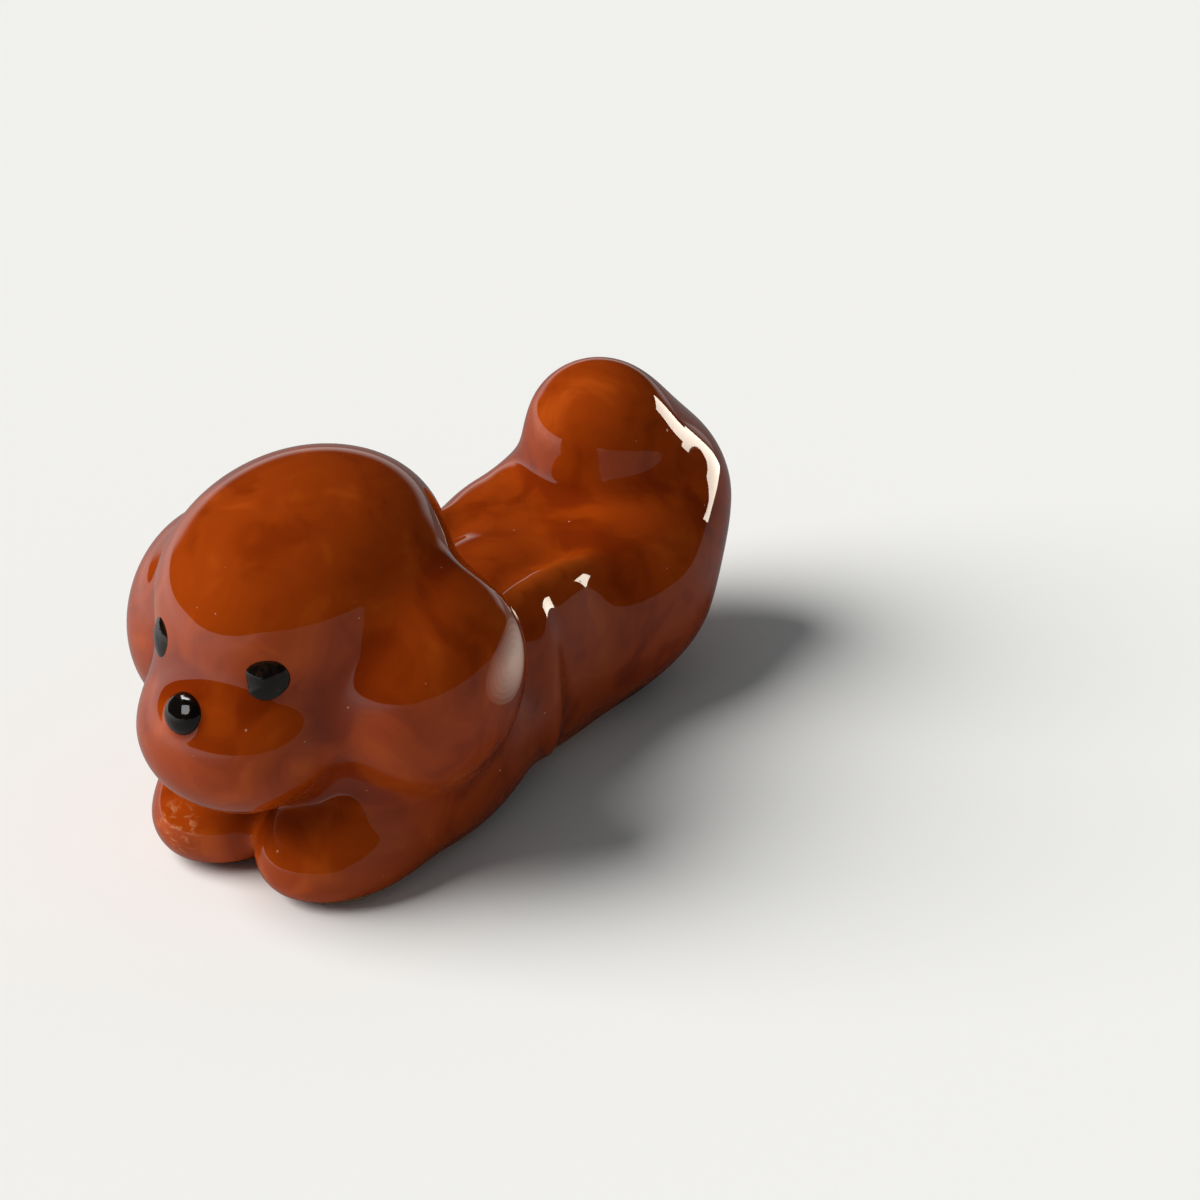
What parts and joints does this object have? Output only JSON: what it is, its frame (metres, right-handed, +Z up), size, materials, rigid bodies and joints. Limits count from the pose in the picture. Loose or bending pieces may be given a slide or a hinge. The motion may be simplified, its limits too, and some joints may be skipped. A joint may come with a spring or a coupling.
{
  "type": "chopstick rest",
  "caption": "Small glazed ceramic chopstick rest shaped as a lying dog, with a low saddle between its head and its tail that holds the chopsticks' tips off the table.",
  "frame": {"origin": "on the table, under the middle of the rest's bounding box", "axes": "the dog faces -Y, its left side is +X, +Z is up; chopsticks lie across the saddle along X"},
  "size_m": [0.0274, 0.0542, 0.0261],
  "materials": {
    "brown_glaze": "thick caramel-brown glossy glaze, thinner and more orange on the ridges",
    "black_enamel": "glossy black enamel over the glaze",
    "bare_clay": "unglazed, ground flat, matt"
  },
  "bodies": {
    "root": {"torso": "brown_glaze", "head": "brown_glaze", "muzzle": "brown_glaze", "ear_left": "brown_glaze", "ear_right": "brown_glaze", "foreleg_left": "brown_glaze", "foreleg_right": "brown_glaze", "haunch_left": "brown_glaze", "haunch_right": "brown_glaze", "tail": "brown_glaze", "nose": "black_enamel", "eye_left": "black_enamel", "eye_right": "black_enamel", "foot": "bare_clay"}
  },
  "joints": []
}
